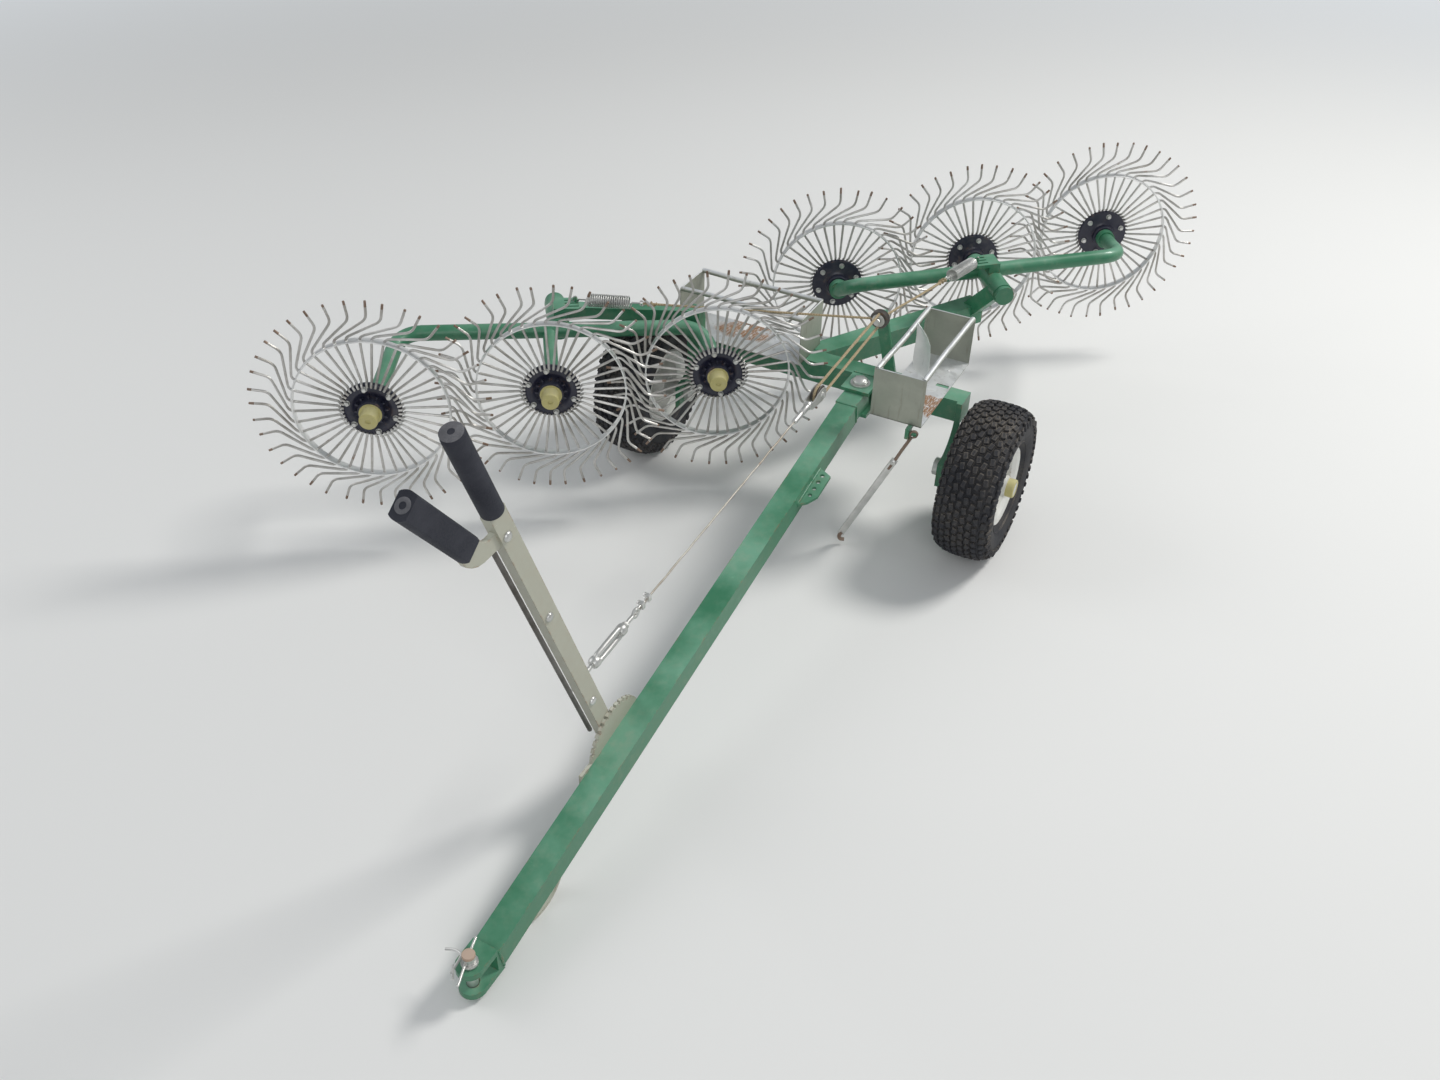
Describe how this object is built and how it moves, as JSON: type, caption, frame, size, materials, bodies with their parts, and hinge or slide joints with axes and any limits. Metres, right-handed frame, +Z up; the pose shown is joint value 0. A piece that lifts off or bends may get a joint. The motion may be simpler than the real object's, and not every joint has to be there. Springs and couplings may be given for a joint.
{
  "type": "towed finger-wheel hay rake",
  "caption": "Towed finger-wheel hay rake with a low two-wheel frame, swinging drawbar, hand lift lever, two rocking booms of tined wheels and two open trays.",
  "frame": {"origin": "middle of the hitch pin hole in the fork at the drawbar's nose", "axes": "+X the way it is towed, +Y its left side, +Z up"},
  "size_m": [2.5357, 1.4923, 0.9176],
  "materials": {
    "green_paint": "worn gloss",
    "cream_paint": "worn, streaked",
    "white_paint": "gloss",
    "galvanised_sheet": "spangled, dull",
    "zinc_plate": "dull",
    "tine_steel": "weathered",
    "hub_black": "satin",
    "tyre": "dusty matt",
    "grip_rubber": "matt",
    "cast_sheave": "matt"
  },
  "bodies": {
    "frame": {"main_beam": "green_paint", "front_arm": "green_paint", "rear_arm": "green_paint", "left_leg": "green_paint", "right_leg": "green_paint", "left_axle": "zinc_plate", "right_axle": "zinc_plate", "left_tray": "galvanised_sheet", "right_tray": "galvanised_sheet", "mast": "green_paint", "mast_pulley": "cast_sheave", "tongue_bolt": "zinc_plate"},
    "drawbar": {"tongue": "green_paint", "hitch_clevis": "green_paint", "skid_foot": "cream_paint", "notch_plate": "green_paint", "lever_sector": "cream_paint"},
    "lever": {"lever": "cream_paint", "lever_grip": "grip_rubber", "latch_handle": "cream_paint", "latch_grip": "grip_rubber", "latch_rod": "tine_steel"},
    "lift_wire": {"turnbuckle": "zinc_plate", "lift_wire": "zinc_plate", "pulley_block": "zinc_plate"},
    "lock_rod": {"lock_rod": "zinc_plate"},
    "left_wheel": {"left_rim": "white_paint", "left_tyre": "tyre"},
    "right_wheel": {"right_rim": "white_paint", "right_tyre": "tyre"},
    "front_boom": {"front_boom": "green_paint"},
    "rear_boom": {"rear_boom": "green_paint"},
    "front_spring": {"front_spring": "zinc_plate"},
    "rear_spring": {"rear_spring": "zinc_plate"},
    "rake_wheel_1": {"rake_reel_1": "tine_steel", "rake_hub_1": "hub_black"},
    "rake_wheel_2": {"rake_reel_2": "tine_steel", "rake_hub_2": "hub_black"},
    "rake_wheel_3": {"rake_reel_3": "tine_steel", "rake_hub_3": "hub_black"},
    "rake_wheel_4": {"rake_reel_4": "tine_steel", "rake_hub_4": "hub_black"},
    "rake_wheel_5": {"rake_reel_5": "tine_steel", "rake_hub_5": "hub_black"},
    "rake_wheel_6": {"rake_reel_6": "tine_steel", "rake_hub_6": "hub_black"}
  },
  "joints": [
    {"name": "left_wheel_spin", "type": "hinge", "parent": "frame", "child": "left_wheel", "pos_m": [-1.43, 0.304, 0.131], "axis": [0, 1, 0], "continuous": true},
    {"name": "right_wheel_spin", "type": "hinge", "parent": "frame", "child": "right_wheel", "pos_m": [-1.43, -0.52, 0.131], "axis": [0, 1, 0], "continuous": true},
    {"name": "tongue_swing", "type": "hinge", "parent": "frame", "child": "drawbar", "pos_m": [-1.445, -0.003, 0.242], "axis": [0, 0, 1], "range_deg": [-15, 20]},
    {"name": "lift_lever", "type": "hinge", "parent": "drawbar", "child": "lever", "pos_m": [-0.458, -0.0378, 0.07481], "axis": [0, 1, 0], "range_deg": [-25, 8]},
    {"name": "lift_wire_follow", "type": "hinge", "parent": "lever", "child": "lift_wire", "pos_m": [-0.39421, -0.0558, 0.24099], "axis": [0, 1, 0], "range_deg": [-8, 25]},
    {"name": "lock_rod_swing", "type": "hinge", "parent": "frame", "child": "lock_rod", "pos_m": [-1.34, 0.162, 0.253], "axis": [0, -1, 0], "range_deg": [-10, 35]},
    {"name": "front_boom_rock", "type": "hinge", "parent": "frame", "child": "front_boom", "pos_m": [-1.3, -0.683, 0.335], "axis": [0.788, 0.6157, 0], "range_deg": [-8, 8]},
    {"name": "front_spring_follow", "type": "hinge", "parent": "front_boom", "child": "front_spring", "pos_m": [-1.28327, -0.61832, 0.38494], "axis": [0.788, 0.6157, 0], "range_deg": [-8, 8]},
    {"name": "rear_boom_rock", "type": "hinge", "parent": "frame", "child": "rear_boom", "pos_m": [-1.897, 0.15, 0.335], "axis": [-0.788, -0.6157, 0], "range_deg": [-8, 8]},
    {"name": "rear_spring_follow", "type": "hinge", "parent": "rear_boom", "child": "rear_spring", "pos_m": [-1.91373, 0.08532, 0.38494], "axis": [-0.788, -0.6157, 0], "range_deg": [-8, 8]},
    {"name": "rake_wheel_1_spin", "type": "hinge", "parent": "front_boom", "child": "rake_wheel_1", "pos_m": [-0.80918, -0.8027, 0.30571], "axis": [0.8615, 0.5077, 0.0068], "continuous": true},
    {"name": "rake_wheel_2_spin", "type": "hinge", "parent": "front_boom", "child": "rake_wheel_2", "pos_m": [-1.07287, -0.54815, 0.28669], "axis": [0.8615, 0.5077, 0.0068], "continuous": true},
    {"name": "rake_wheel_3_spin", "type": "hinge", "parent": "front_boom", "child": "rake_wheel_3", "pos_m": [-1.33656, -0.29361, 0.26767], "axis": [0.8615, 0.5077, 0.0068], "continuous": true},
    {"name": "rake_wheel_4_spin", "type": "hinge", "parent": "rear_boom", "child": "rake_wheel_4", "pos_m": [-1.86044, -0.23939, 0.26767], "axis": [-0.8615, -0.5077, 0.0068], "continuous": true},
    {"name": "rake_wheel_5_spin", "type": "hinge", "parent": "rear_boom", "child": "rake_wheel_5", "pos_m": [-2.12413, 0.01515, 0.28669], "axis": [-0.8615, -0.5077, 0.0068], "continuous": true},
    {"name": "rake_wheel_6_spin", "type": "hinge", "parent": "rear_boom", "child": "rake_wheel_6", "pos_m": [-2.38782, 0.2697, 0.30571], "axis": [-0.8615, -0.5077, 0.0068], "continuous": true}
  ],
  "couplings": [
    {"joint": "lift_wire_follow", "follows": "lift_lever", "ratio": -1},
    {"joint": "front_spring_follow", "follows": "front_boom_rock", "ratio": -1},
    {"joint": "rear_spring_follow", "follows": "rear_boom_rock", "ratio": -1}
  ]
}
